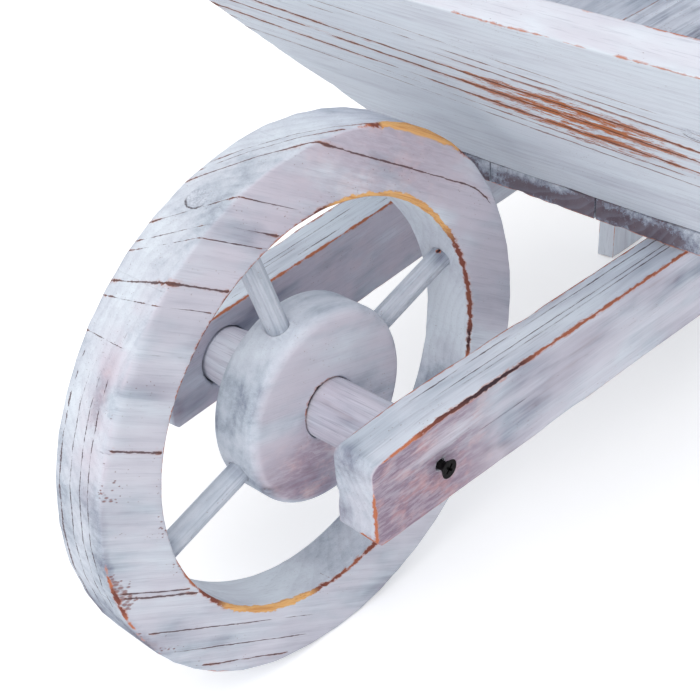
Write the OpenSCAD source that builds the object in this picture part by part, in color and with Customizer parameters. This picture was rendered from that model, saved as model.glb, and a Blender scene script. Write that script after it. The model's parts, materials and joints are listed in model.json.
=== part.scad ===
// Decorative wheelbarrow of limewashed pine boards, in millimetres.
// Z is up and the ground is z = 0. X runs from the wheel at the front (-X) to the handles (+X).
// The left arm is the one at -Y, as seen from between the handles.

/* [Wheel] */
// Diameter of the wheel
wheel_d = 240; // [226:1:280]
// Depth of the rim, measured along a spoke
rim_depth = 30; // [24:0.5:36]
// Width of the rim along the axle
rim_w = 26; // [18:0.5:36]
// Angle at which the rim's boards slope down towards the rear
rim_grain = 30; // [0:1:60]
// Depth of the rim's top board, measured across the grain
rim_cap_deep = 20; // [8:1:22]
// Depth of the rim's bottom board, measured across the grain
rim_foot_deep = 37; // [35:1:46]
// Diameter of the hub
hub_d = 88.5; // [70:0.5:100]
// Width of the hub along the axle
hub_w = 25; // [20:0.5:36]
// Rounding of the hub's arrises
hub_round = 5; // [1:0.5:6]
// Diameter of a spoke
spoke_d = 10; // [6:0.5:14]
// Angle of the first spoke above the rearward level
spoke_angle = 20; // [0:1:40]
// Depth that a spoke is let into the rim and into the hub
spoke_let = 12; // [6:0.5:16]
// Diameter of the axle
axle_d = 27; // [18:0.5:32]
// Depth of the axle's socket in each arm
socket_depth = 8; // [4:0.5:12]
// Radial clearance of the axle in its sockets
axle_fit = 0.1; // [0.05:0.01:0.1]
// Clearance between each end of the axle and its socket's floor
axle_play = 0.5; // [0.3:0.1:1]
// Chamfer round the mouth of each socket and of the hub's bore
mouth = 0.8; // [0.4:0.1:1.5]

/* [Arms] */
// Thickness of an arm
arm_w = 21; // [16:0.5:28]
// Height of an arm
arm_h = 41.5; // [38:0.5:50]
// Height of an arm's top above the axle
arm_over = 21.5; // [18:0.5:24]
// Space between the arms at the axle
arm_gap = 101; // [84:1:112]
// Angle that each arm turns outwards towards its handle
arm_splay = 2.75; // [1:0.25:3.5]
// Angle at which the arms rise towards the handles
arm_rise = 3; // [1:0.25:5]
// Length of an arm in front of the axle
arm_nose = 35; // [26:1:60]
// Cut across the corners of an arm's front end
nose_cut = 3; // [1:0.5:8]
// Length of an arm behind the floor
handle_len = 241; // [210:1:320]
// Length of the grip
grip_len = 125; // [90:1:140]
// Height of the grip
grip_h = 26; // [20:1:34]
// Depth of the grip's top below the arm's top
grip_drop = 4.5; // [0:0.5:6]
// Rounding of the grip's end
grip_round = 9; // [4:0.5:10]
// Length over which the arm narrows to the grip
grip_ease = 45; // [30:1:60]

/* [Tray] */
// Width of a floor board
board_w = 60; // [58:0.5:64]
// Space between two floor boards
board_gap = 0.8; // [0.3:0.1:0.9]
// Thickness of the floor boards
floor_t = 11; // [9:0.5:16]
// Length of the floor
floor_len = 280; // [240:1:360]
// Thickness of the tray's panels
panel_t = 13; // [10:0.5:16]
// Length of the front panel up its slope
front_len = 180; // [130:1:200]
// Lean of the front panel towards the wheel, from upright
front_lean = 42; // [25:1:46]
// Lean of the side panels outwards, from upright
side_lean = 27; // [10:1:32]
// Lean of the back panel rearwards, from upright
back_lean = 20; // [5:1:30]
// Clearance between the wheel and the front panel
wheel_clear = 20; // [10:1:50]

/* [Rails and legs] */
// Width of a cross rail along the barrow
rail_w = 20; // [16:1:24]
// Height of a cross rail
rail_h = 30; // [26:1:34]
// Distance from the floor's front edge to the front rail
front_rail_inset = 61; // [45:1:80]
// Distance from the floor's rear edge to the rear rail
rear_rail_inset = 14; // [14:1:16]
// Width of a leg along the barrow
leg_w = 40; // [34:1:48]
// Thickness of a leg
leg_t = 12; // [10:0.5:16]
// Distance from the floor's rear edge to a leg's rear edge
leg_inset = 34; // [34:1:60]
// Depth of a leg's top below its arm's top
leg_drop = 2; // [1:0.5:6]
// Thickness of the brace between the legs
brace_t = 12; // [10:0.5:16]
// Height of the brace
brace_h = 40; // [24:1:44]
// Space between the arms' undersides and the brace
brace_drop = 2; // [0.5:0.5:10]

/* [Fasteners] */
// Diameter of a screw's shank
screw_d = 4; // [3:0.5:4.5]
// Diameter of a screw's head
head_d = 8.4; // [7:0.2:9]
// Height of a screw's countersunk head
head_h = 2.6; // [2:0.2:3]
// Depth that a screw's head is driven below the wood, except for the pivot screws
head_sink = 0.4; // [0.2:0.1:0.8]
// Length of the cross cut in a screw's head
cross_len = 4.6; // [3:0.2:5.6]
// Width of the cross cut
cross_w = 1.1; // [0.7:0.1:1.5]
// Depth of the cross cut
cross_deep = 1.3; // [0.8:0.1:1.6]
// Height that a pivot screw's head stands out from its arm
pivot_proud = 4.5; // [3.5:0.5:6]
// Depth that a pivot screw reaches into the axle
pivot_bite = 18; // [10:1:24]
// Clearance round a pivot screw where it runs through its arm
pivot_fit = 0.5; // [0.3:0.1:0.8]
// Length of a floor screw
floor_screw_len = 25; // [20:1:25]
// Distance of a floor screw from the nearest joint between boards
floor_screw_in = 9; // [7:0.5:12]
// Length of a rail screw
rail_screw_len = 42; // [34:1:48]
// Height of the rail screws above the rail's underside
rail_screw_up = 8; // [6:0.5:8]
// Length of a leg screw
leg_screw_len = 28; // [22:1:28]
// Distance between a leg's two screws, measured along the arm
leg_screw_dx = 16; // [0:1:20]
// Distance between the heights of a leg's two screws
leg_screw_dz = 20; // [12:1:24]
// Length of a brace screw
brace_screw_len = 45; // [30:1:60]
// Diameter of a nail
nail_d = 1.8; // [1.2:0.1:2.5]
// Length of a corner nail
corner_nail_len = 40; // [34:1:46]
// Height of the lowest corner nails above the floor, and of the highest below the sides' tops
corner_nail_in = 24; // [20:1:32]
// Distance of the sides' outermost foot nails from the ends of the floor
foot_nail_in = 50; // [40:1:60]
// Length that a foot nail reaches into its panel
foot_nail_bite = 22; // [12:1:26]
// Depth that a nail's head is sunk and filled over
nail_sink = 1.5; // [0.5:0.1:2]

/* [Hidden] */
$fn = 64;
// Extra length that lets a cut pass through a face
over = 1;
// Larger than the whole barrow, for cutting away half of space
far = 2000;
// Steps along each curve of an arm's outline
curve_steps = 8;
// The side numbers: the left arm is at -Y and the right arm at +Y
left = -1;
right = 1;

wheel_r = wheel_d / 2;
rim_inner_r = wheel_r - rim_depth;
hub_r = hub_d / 2;
axle_r = axle_d / 2;
arm_under = arm_h - arm_over;

// Heights of the highest and the lowest joint in the rim, square to its grain, with three boards between
rim_high = wheel_r - rim_cap_deep;
rim_low = rim_foot_deep - wheel_r;
rim_board_w = (rim_high - rim_low) / 3;

floor_top = arm_over + floor_t;
tray_half = 1.5 * board_w + board_gap;
tray_h = front_len * cos(front_lean);

// Length of a screw's point
screw_tip = 1.5 * screw_d;

// Distances from the axle along the arms
floor_start = (wheel_r + wheel_clear - floor_top * sin(front_lean)) / cos(front_lean);
floor_end = floor_start + floor_len;
arm_reach = floor_end + handle_len;
grip_start = arm_reach - grip_len;
front_rail_x = floor_start + front_rail_inset;
rear_rail_x = floor_end - rear_rail_inset - rail_w;
leg_x = floor_end - leg_inset - leg_w;
brace_x = leg_x + (leg_w - brace_t) / 2;

// Heights from the axle, square to the arms
grip_high = arm_over - grip_drop;
grip_low = grip_high - grip_h;
rail_under = arm_over - rail_h;
brace_top = -arm_under - brace_drop;

// The barrow's length decides where the axle stands, with the origin at its middle
tip_reach = arm_reach * cos(arm_splay) * cos(arm_rise) - (grip_low + grip_round) * sin(arm_rise);
axle_x = wheel_r - (wheel_r + tip_reach) / 2;

// Distance from the middle of the barrow to an arm's outer face at the axle
arm_outside = arm_gap / 2 + arm_w / cos(arm_splay);

function ease(t) = (1 - cos(180 * t)) / 2;

// Half the distance between the arms' inner faces at x
function inner_half(x) = arm_gap / 2 + x * tan(arm_splay);

// Distance along an arm at which a plane at x cuts a line that lies outside the arm's inner face
function along_x(x, outside) = (x + outside * sin(arm_splay)) / cos(arm_splay);

// Y of the middle of a side panel's thickness at height z
function side_mid(z) = tray_half + (z - floor_top) * tan(side_lean) - panel_t / 2 / cos(side_lean);

// X of the front panel's and the back panel's outer faces at height z
function front_face(z) = floor_start - (z - floor_top) * tan(front_lean);
function back_face(z) = floor_end + (z - floor_top) * tan(back_lean);

// Frames of reference

module at_axle() {
    translate([axle_x, 0, wheel_r]) children();
}

// Origin at the axle, with X along the arms and Z square to them
module raised() {
    at_axle() rotate([0, -arm_rise, 0]) children();
}

// Mirrors its children to the given side
module on_side(side) {
    if (side == left) mirror([0, 1, 0]) children();
    else children();
}

// Along one arm: X follows the arm and Y is 0 on its inner face
module along_arm(side) {
    raised() on_side(side) translate([0, arm_gap / 2, 0]) rotate([0, 0, arm_splay]) children();
}

// The panels' frames: Z climbs the panel from the outer edge of its foot
module at_front() {
    translate([floor_start, 0, floor_top]) rotate([0, -front_lean, 0]) children();
}

module at_back() {
    translate([floor_end, 0, floor_top]) rotate([0, back_lean, 0]) children();
}

module at_side(side) {
    on_side(side) translate([0, tray_half, floor_top]) rotate([-side_lean, 0, 0]) children();
}

// Fasteners

// Half of a countersunk screw's outline, with the head's face at z = 0 and the point down. A hole for it
// goes on above the face by the given height.
function screw_outline(length, above) = concat(
    [[0, above]],
    above > 0 ? [[head_d / 2, above]] : [],
    [
        [head_d / 2, 0], [screw_d / 2, -head_h], [screw_d / 2, screw_tip - length],
        [screw_d / 8, -length], [0, -length]
    ]
);

module screw_body(length) {
    rotate_extrude() polygon(screw_outline(length, 0));
}

module screw_hole(length) {
    rotate_extrude() polygon(screw_outline(length, over));
}

module screw(length) {
    color("#2b2a2c") difference() {
        screw_body(length);
        for (turn = [45, 135])
            rotate([0, 0, turn]) translate([-cross_len / 2, -cross_w / 2, -cross_deep])
                cube([cross_len, cross_w, cross_deep + over]);
    }
}

module nail(length) {
    cylinder(h = length, d = nail_d);
}

// Where each kind of fastener goes: the screws' heads have their faces at z = 0 there and point down

module pivot_screw_places() {
    for (side = [left, right])
        raised() on_side(side) translate([0, arm_outside + pivot_proud, 0]) rotate([-90, 0, 0])
            children();
}

// The middle board is screwed to the rails, and each outer board to the rails and to its arm
module floor_screw_places() {
    joint = board_w / 2 + board_gap / 2;
    for (x = [front_rail_x + rail_w / 2, rear_rail_x + rail_w / 2])
        for (side = [left, right])
            for (y = [joint - floor_screw_in, joint + floor_screw_in, inner_half(x) + arm_w / 2])
                raised() translate([x, side * y, floor_top - head_sink]) children();
}

module rail_screw_places(side) {
    for (x = [front_rail_x + rail_w / 2, rear_rail_x + rail_w / 2])
        along_arm(side) translate([along_x(x, 0), arm_w - head_sink, rail_under + rail_screw_up])
            rotate([-90, 0, 0]) children();
}

module leg_screw_places(side) {
    for (step = [-1, 1]) {
        x = leg_x + (leg_w - step * leg_screw_dx) / 2;
        z = (arm_over - arm_under + step * leg_screw_dz) / 2;
        along_arm(side) translate([x, arm_w + leg_t - head_sink, z]) rotate([-90, 0, 0]) children();
    }
}

module brace_screw_places(side) {
    x = along_x(brace_x + brace_t / 2, arm_w);
    z = brace_top - brace_h / 2;
    along_arm(side) translate([x, arm_w + leg_t - head_sink, z]) rotate([-90, 0, 0]) children();
}

// The holes that the fasteners fill in the arms
module arm_fastener_holes(side) {
    rail_screw_places(side) screw_hole(rail_screw_len);
    leg_screw_places(side) screw_hole(leg_screw_len);
}

module floor_screw_holes() {
    floor_screw_places() screw_hole(floor_screw_len);
}

// Nails run level through the front and back panels into the side panels' ends
module corner_nails_all() {
    front_sink = nail_sink + nail_d / 2 * tan(front_lean);
    back_sink = nail_sink + nail_d / 2 * tan(back_lean);
    for (side = [left, right])
        for (up = [corner_nail_in, tray_h / 2, tray_h - corner_nail_in]) {
            z = floor_top + up;
            y = side * side_mid(z);
            raised() translate([front_face(z) + front_sink, y, z]) rotate([0, 90, 0]) nail(corner_nail_len);
            raised() translate([back_face(z) - back_sink, y, z]) rotate([0, -90, 0]) nail(corner_nail_len);
        }
}

// Nails run from under the floor up the slope of each panel, three in each
module foot_nails_all() {
    for (i = [-1, 0, 1]) {
        y = i * (board_w + board_gap);
        x = (floor_start + floor_end) / 2 + i * (floor_len / 2 - foot_nail_in);
        raised() at_front() translate([panel_t / 2, y, 0]) foot_nail(front_lean);
        raised() at_back() translate([-panel_t / 2, y, 0]) foot_nail(back_lean);
        for (side = [left, right])
            raised() at_side(side) translate([x, -panel_t / 2, 0]) foot_nail(side_lean);
    }
}

// One foot nail in the frame of a panel that leans by the given angle
module foot_nail(lean) {
    foot = -panel_t / 2 * tan(lean);
    in_floor = (floor_t - nail_sink - nail_d / 2 * sin(lean)) / cos(lean);
    translate([0, 0, foot - in_floor]) nail(in_floor + foot_nail_bite);
}

// Wheel

// The whole ring of the rim, with the sockets for the spokes
module rim_ring() {
    difference() {
        rotate([90, 0, 0]) cylinder(h = rim_w, r = wheel_r, center = true, $fn = 128);
        rotate([90, 0, 0]) cylinder(h = rim_w + 2 * over, r = rim_inner_r, center = true, $fn = 128);
        for (i = [0 : 3]) spoke_body(i);
    }
}

// The part of the ring between two heights of the boards' own frame, and between two ends
module rim_board(low, high, front_end, rear_end) {
    color("#d3d6e2") at_axle() intersection() {
        rim_ring();
        rotate([0, rim_grain, 0]) translate([front_end, -rim_w, low])
            cube([rear_end - front_end, 2 * rim_w, high - low]);
    }
}

module rim_cap() {
    rim_board(rim_high, wheel_r + over, -far, far);
}

module rim_top() {
    rim_board(rim_high - rim_board_w, rim_high, -far, far);
}

module rim_mid_front() {
    rim_board(rim_low + rim_board_w, rim_high - rim_board_w, -far, 0);
}

module rim_mid_rear() {
    rim_board(rim_low + rim_board_w, rim_high - rim_board_w, 0, far);
}

module rim_low_front() {
    rim_board(rim_low, rim_low + rim_board_w, -far, 0);
}

module rim_low_rear() {
    rim_board(rim_low, rim_low + rim_board_w, 0, far);
}

module rim_bottom() {
    rim_board(-wheel_r - over, rim_low, -far, far);
}

// Spoke number i, about the axle
module spoke_body(i) {
    rotate([0, -spoke_angle - 90 * i, 0]) translate([hub_r - spoke_let, 0, 0]) rotate([0, 90, 0])
        cylinder(h = rim_inner_r - hub_r + 2 * spoke_let, d = spoke_d);
}

module spoke(i) {
    color("#c9d3de") at_axle() spoke_body(i);
}

// A disc along Y with rounded arrises
module rounded_disc(radius, width, fillet) {
    rotate([90, 0, 0]) rotate_extrude($fn = 96) {
        translate([0, -width / 2]) square([radius - fillet, width]);
        translate([0, fillet - width / 2]) square([radius, width - 2 * fillet]);
        for (side = [-1, 1])
            translate([radius - fillet, side * (width / 2 - fillet)]) circle(r = fillet);
    }
}

// A chamfer that opens towards +Z at the mouth of a hole, whose face is z = 0
module mouth_cut(radius) {
    translate([0, 0, -mouth]) cylinder(h = 2 * mouth, r1 = radius, r2 = radius + 2 * mouth);
}

module hub() {
    color("#cdd2dc") at_axle() difference() {
        rounded_disc(hub_r, hub_w, hub_round);
        rotate([90, 0, 0]) cylinder(h = hub_w + 2 * over, r = axle_r, center = true);
        for (side = [-1, 1])
            rotate([side * 90, 0, 0]) translate([0, 0, hub_w / 2]) mouth_cut(axle_r);
        for (i = [0 : 3]) spoke_body(i);
    }
}

module axle() {
    axle_len = arm_gap + 2 * (socket_depth - axle_play);
    color("#cfd2dc") difference() {
        at_axle() rotate([90, 0, 0]) cylinder(h = axle_len, r = axle_r, center = true);
        pivot_screw_places() screw_hole(pivot_len());
    }
}

// A pivot screw runs through its arm's web and bites into the axle
function pivot_len() = pivot_proud + arm_w / cos(arm_splay) - socket_depth + axle_play + pivot_bite;

module pivot_screws() {
    pivot_screw_places() screw(pivot_len());
}

// Arms

function curve(x1, z1, x2, z2) =
    [for (i = [0 : curve_steps]) [x1 + (x2 - x1) * i / curve_steps, z1 + (z2 - z1) * ease(i / curve_steps)]];

function corner(x, z, from) =
    [for (i = [0 : curve_steps]) [
        x + grip_round * cos(from + 90 * i / curve_steps),
        z + grip_round * sin(from + 90 * i / curve_steps)
    ]];

// An arm's outline from the side, along the arm and square to it
function arm_outline() = concat(
    [[-arm_nose, nose_cut - arm_under], [nose_cut - arm_nose, -arm_under]],
    curve(grip_start - grip_ease, -arm_under, grip_start, grip_low),
    corner(arm_reach - grip_round, grip_low + grip_round, -90),
    corner(arm_reach - grip_round, grip_high - grip_round, 0),
    curve(grip_start, grip_high, grip_start - grip_ease, arm_over),
    [[nose_cut - arm_nose, arm_over], [-arm_nose, arm_over - nose_cut]]
);

module arm(side) {
    color("#cbcfda") difference() {
        along_arm(side) translate([0, arm_w, 0]) rotate([90, 0, 0])
            linear_extrude(height = arm_w) polygon(arm_outline());
        raised() on_side(side) rotate([-90, 0, 0]) {
            cylinder(h = arm_gap / 2 + socket_depth, r = axle_r + axle_fit);
            cylinder(h = arm_outside + over, r = screw_d / 2 + pivot_fit);
            translate([0, 0, arm_gap / 2]) mirror([0, 0, 1]) mouth_cut(axle_r + axle_fit);
        }
        arm_fastener_holes(side);
        floor_screw_holes();
    }
}

module left_arm() {
    arm(left);
}

module right_arm() {
    arm(right);
}

// A board across the barrow that ends on the two planes at a distance outside the arms' inner faces
module across(x, width, low, height, outside) {
    difference() {
        raised() translate([x, -far / 2, low]) cube([width, far, height]);
        for (side = [left, right])
            along_arm(side) translate([-far, outside, -far]) cube([2 * far, far, 2 * far]);
    }
}

module rail(x) {
    color("#c7ccd6") difference() {
        across(x, rail_w, rail_under, rail_h, 0);
        for (side = [left, right]) rail_screw_places(side) screw_hole(rail_screw_len);
        floor_screw_holes();
    }
}

module front_rail() {
    rail(front_rail_x);
}

module rear_rail() {
    rail(rear_rail_x);
}

// Tray

module floor_board(place) {
    color("#c5cad4") difference() {
        raised() translate([floor_start, place * (board_w + board_gap) - board_w / 2, arm_over])
            cube([floor_len, board_w, floor_t]);
        floor_screw_holes();
        foot_nails_all();
    }
}

module floor_left() {
    floor_board(-1);
}

module floor_middle() {
    floor_board(0);
}

module floor_right() {
    floor_board(1);
}

// Half of space in front of the front panel's inner face, and behind the back panel's
module ahead_of_tray() {
    at_front() translate([panel_t - far, -far, -far]) cube([far, 2 * far, 2 * far]);
}

module behind_tray() {
    at_back() translate([-panel_t, -far, -far]) cube([far, 2 * far, 2 * far]);
}

// Everything outside the side panels' outer faces
module beside_tray() {
    for (side = [left, right]) at_side(side) translate([-far, 0, -far]) cube([2 * far, far, 2 * far]);
}

module below_floor_top() {
    translate([-far, -far, floor_top - 2 * far]) cube([2 * far, 2 * far, 2 * far]);
}

// Cuts a panel's foot flat on the floor and makes the holes that its nails fill
module finished_panel() {
    color("#d6d9e3") difference() {
        raised() difference() {
            children();
            below_floor_top();
        }
        corner_nails_all();
        foot_nails_all();
    }
}

module front_panel() {
    finished_panel() difference() {
        at_front() translate([0, -far / 2, -far / 2]) cube([panel_t, far, far / 2 + front_len]);
        beside_tray();
    }
}

module back_panel() {
    back_len = tray_h / cos(back_lean);
    finished_panel() difference() {
        at_back() translate([-panel_t, -far / 2, -far / 2]) cube([panel_t, far, far / 2 + back_len]);
        beside_tray();
    }
}

module side_panel(side) {
    side_len = tray_h / cos(side_lean);
    finished_panel() difference() {
        at_side(side) translate([-far / 2, -panel_t, -far / 2]) cube([far, panel_t, far / 2 + side_len]);
        ahead_of_tray();
        behind_tray();
    }
}

module left_side() {
    side_panel(left);
}

module right_side() {
    side_panel(right);
}

// Legs

// A leg stands upright against its arm's outer face and is cut off level at the ground
module leg(side) {
    leg_len = wheel_r + arm_over + leg_x * sin(arm_rise) + arm_h;
    color("#ccd1db") difference() {
        along_arm(side) translate([leg_x, arm_w, arm_over - leg_drop]) rotate([0, arm_rise, 0])
            translate([0, 0, -leg_len]) cube([leg_w, leg_t, leg_len]);
        translate([-far, -far, -2 * far]) cube([2 * far, 2 * far, 2 * far]);
        leg_screw_places(side) screw_hole(leg_screw_len);
        brace_screw_places(side) screw_hole(brace_screw_len);
    }
}

module left_leg() {
    leg(left);
}

module right_leg() {
    leg(right);
}

module leg_brace() {
    color("#c7ccd6") difference() {
        across(brace_x, brace_t, brace_top - brace_h, brace_h, arm_w);
        for (side = [left, right]) brace_screw_places(side) screw_hole(brace_screw_len);
    }
}

// Groups of fasteners

module floor_screws() {
    floor_screw_places() screw(floor_screw_len);
}

module rail_screws() {
    for (side = [left, right]) rail_screw_places(side) screw(rail_screw_len);
}

module leg_screws() {
    for (side = [left, right]) leg_screw_places(side) screw(leg_screw_len);
}

module brace_screws() {
    for (side = [left, right]) brace_screw_places(side) screw(brace_screw_len);
}

module corner_nails() {
    color("#8d8f94") corner_nails_all();
}

module foot_nails() {
    color("#8d8f94") foot_nails_all();
}

rim_cap();
rim_top();
rim_mid_front();
rim_mid_rear();
rim_low_front();
rim_low_rear();
rim_bottom();
hub();
spoke(0);  // spoke_1
spoke(1);  // spoke_2
spoke(2);  // spoke_3
spoke(3);  // spoke_4
axle();
pivot_screws();
left_arm();
right_arm();
front_rail();
rear_rail();
floor_left();
floor_middle();
floor_right();
front_panel();
back_panel();
left_side();
right_side();
left_leg();
right_leg();
leg_brace();
floor_screws();
rail_screws();
leg_screws();
brace_screws();
corner_nails();
foot_nails();
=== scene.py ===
import json
import math

import bpy
import numpy as np
from mathutils import Matrix, Vector, noise

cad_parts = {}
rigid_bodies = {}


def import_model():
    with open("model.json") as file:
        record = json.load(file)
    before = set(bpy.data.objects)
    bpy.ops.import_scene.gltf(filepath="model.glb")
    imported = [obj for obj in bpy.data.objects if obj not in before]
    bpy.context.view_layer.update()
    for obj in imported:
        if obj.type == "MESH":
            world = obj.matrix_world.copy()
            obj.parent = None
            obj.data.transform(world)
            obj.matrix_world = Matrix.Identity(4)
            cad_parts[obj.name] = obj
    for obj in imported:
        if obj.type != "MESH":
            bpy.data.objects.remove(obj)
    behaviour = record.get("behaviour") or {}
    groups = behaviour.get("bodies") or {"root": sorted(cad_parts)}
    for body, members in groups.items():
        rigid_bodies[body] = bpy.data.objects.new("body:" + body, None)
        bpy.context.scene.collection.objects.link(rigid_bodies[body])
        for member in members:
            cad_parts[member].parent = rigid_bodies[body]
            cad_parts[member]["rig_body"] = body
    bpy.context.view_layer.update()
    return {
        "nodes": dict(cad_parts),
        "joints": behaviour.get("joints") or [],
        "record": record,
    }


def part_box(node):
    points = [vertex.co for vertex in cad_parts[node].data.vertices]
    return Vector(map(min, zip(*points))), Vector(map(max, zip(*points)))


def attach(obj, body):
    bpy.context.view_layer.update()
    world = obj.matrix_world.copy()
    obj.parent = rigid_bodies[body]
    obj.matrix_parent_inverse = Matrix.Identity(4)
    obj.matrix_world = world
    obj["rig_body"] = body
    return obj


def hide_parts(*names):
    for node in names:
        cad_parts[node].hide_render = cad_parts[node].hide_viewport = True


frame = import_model()
print("frame loaded:", len(frame["nodes"]), "nodes")

mm = 0.001


def deselectAll():
    for obj in bpy.context.selected_objects:
        obj.select_set(False)


def makeActive(obj):
    deselectAll()
    obj.select_set(True)
    bpy.context.view_layer.objects.active = obj


def camel(name):
    first, *rest = name.split("_")
    return first + "".join(word.capitalize() for word in rest)


# Directions, worked out from the angles of the barrow
barrow = {
    "rise": 3.0,  # degrees that the arms climb towards the handles
    "splay": 2.75,  # degrees that each arm turns outwards
    "rimGrain": 30.0,  # degrees that the rim's grain slopes down to the rear
    "spokeTurn": 20.0,  # degrees of the first spoke above level
    "frontLean": 42.0,
    "sideLean": 27.0,
    "backLean": 20.0,
}
axleAt = Vector(frame["joints"][0]["pos_m"])
wheelRadius = axleAt.z
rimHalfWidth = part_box("rim_top")[1].y
climb = Matrix.Rotation(-math.radians(barrow["rise"]), 3, "Y")


def turned(x, y, z):
    return climb @ Vector((x, y, z)).normalized()


def sloped(degrees):
    angle = math.radians(degrees)
    return Vector((math.cos(angle), 0, math.sin(angle)))


def lean(degrees):
    angle = math.radians(degrees)
    return math.sin(angle), math.cos(angle)


# Camera at the photograph's angle
camera = {
    "place": (-0.6258, -0.3637, 0.4610),
    "right": (0.6836, -0.7292, -0.0327),
    "up": (0.4101, 0.3466, 0.8437),
    "lens": 75.0,
}


def placeCamera():
    data = bpy.data.cameras.new("camera")
    data.lens = camera["lens"]
    data.sensor_width = 36.0
    data.clip_end = 60.0
    obj = bpy.data.objects.new("camera", data)
    right = Vector(camera["right"]).normalized()
    up = Vector(camera["up"])
    up = (up - right * up.dot(right)).normalized()
    turn = Matrix((right, up, right.cross(up))).transposed()
    obj.matrix_world = Matrix.Translation(camera["place"]) @ turn.to_4x4()
    bpy.context.scene.collection.objects.link(obj)
    bpy.context.scene.camera = obj


placeCamera()


# Shorthands for node trees
def paint(red, green, blue):
    return tuple(((c / 255 + 0.055) / 1.055) ** 2.4 for c in (red, green, blue)) + (1.0,)


def addNode(tree, kind, **values):
    node = tree.nodes.new("ShaderNode" + kind)
    for key, value in values.items():
        setattr(node, key, value)
    return node


def feed(tree, socket, value):
    if isinstance(value, bpy.types.NodeSocket):
        tree.links.new(value, socket)
    else:
        socket.default_value = value


def calc(tree, operation, *values, clamp=False):
    node = addNode(tree, "Math", operation=operation, use_clamp=clamp)
    for socket, value in zip(node.inputs, values):
        feed(tree, socket, value)
    return node.outputs[0]


def stretch(tree, vector, scale):
    node = addNode(tree, "VectorMath", operation="MULTIPLY")
    feed(tree, node.inputs[0], vector)
    node.inputs[1].default_value = scale
    return node.outputs[0]


# The scale is how often the noise changes along each axis of the vector
def noiseAt(tree, vector, scale, detail=3.0, rough=0.5):
    node = addNode(tree, "TexNoise")
    feed(tree, node.inputs["Vector"], stretch(tree, vector, scale))
    node.inputs["Scale"].default_value = 1.0
    node.inputs["Detail"].default_value = detail
    node.inputs["Roughness"].default_value = rough
    return node.outputs["Fac"]


def fade(tree, value, low, high):
    node = addNode(tree, "MapRange", interpolation_type="SMOOTHSTEP")
    feed(tree, node.inputs["Value"], value)
    feed(tree, node.inputs["From Min"], low)
    feed(tree, node.inputs["From Max"], high)
    return node.outputs["Result"]


def blend(tree, factor, first, second):
    node = addNode(tree, "Mix", data_type="RGBA")
    feed(tree, node.inputs[0], factor)
    feed(tree, node.inputs[6], first)
    feed(tree, node.inputs[7], second)
    return node.outputs[2]


# Lays a tone over a colour where the mask is, as strongly as the amount
def tint(tree, colour, mask, amount, tone):
    return blend(tree, calc(tree, "MULTIPLY", mask, amount), colour, tone)


def ramp(tree, value, stops):
    node = addNode(tree, "ValToRGB")
    feed(tree, node.inputs[0], value)
    points = node.color_ramp.elements
    while len(points) < len(stops):
        points.new(0.5)
    for point, (place, colour) in zip(points, stops):
        point.position = place
        point.color = colour
    return node.outputs[0]


def newMaterial(name):
    material = bpy.data.materials.new(name)
    material.use_nodes = True
    return material, material.node_tree, material.node_tree.nodes["Principled BSDF"]


def addBump(tree, shader, height, strength, distance):
    bump = addNode(tree, "Bump")
    bump.inputs["Strength"].default_value = strength
    bump.inputs["Distance"].default_value = distance * mm
    feed(tree, bump.inputs["Height"], height)
    feed(tree, shader.inputs["Normal"], bump.outputs["Normal"])


# Every group reads Grain, the place in a board in mm: along its grain, across it, and out of its face
def groupTree(name, inputs, outputs):
    tree = bpy.data.node_groups.new(name, "ShaderNodeTree")
    tree.interface.new_socket("Grain", in_out="INPUT", socket_type="NodeSocketVector")
    for label in inputs:
        tree.interface.new_socket(label, in_out="INPUT", socket_type="NodeSocketFloat")
    for label in outputs:
        tree.interface.new_socket(label, in_out="OUTPUT", socket_type="NodeSocketFloat")
    return tree, tree.nodes.new("NodeGroupInput").outputs, tree.nodes.new("NodeGroupOutput").inputs


def useGroup(tree, group, **values):
    node = tree.nodes.new("ShaderNodeGroup")
    node.node_tree = group
    for label, value in values.items():
        feed(tree, node.inputs[label], value)
    return node.outputs


# Growth rings round the board's pith, and its fine fibres
def pineGrainGroup():
    tree, given, result = groupTree("pineGrain", ["Spacing"], ["Late", "Fibre"])
    grain = given["Grain"]
    bend = noiseAt(tree, grain, (0.006, 0.03, 0.03), 2.0)
    pithDistance = addNode(tree, "VectorMath", operation="LENGTH")
    feed(tree, pithDistance.inputs[0], stretch(tree, grain, (0.0, 1.0, 1.0)))
    rings = calc(tree, "MULTIPLY_ADD", bend, 16.0, pithDistance.outputs["Value"])
    turns = calc(tree, "FRACT", calc(tree, "DIVIDE", rings, given["Spacing"]))
    rise = fade(tree, turns, 0.35, 0.9)
    drop = fade(tree, turns, 1.0, 0.92)
    feed(tree, result["Late"], calc(tree, "MULTIPLY", rise, drop))
    feed(tree, result["Fibre"], noiseAt(tree, grain, (0.05, 1.6, 1.6), 3.0, 0.6))
    return tree


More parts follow.
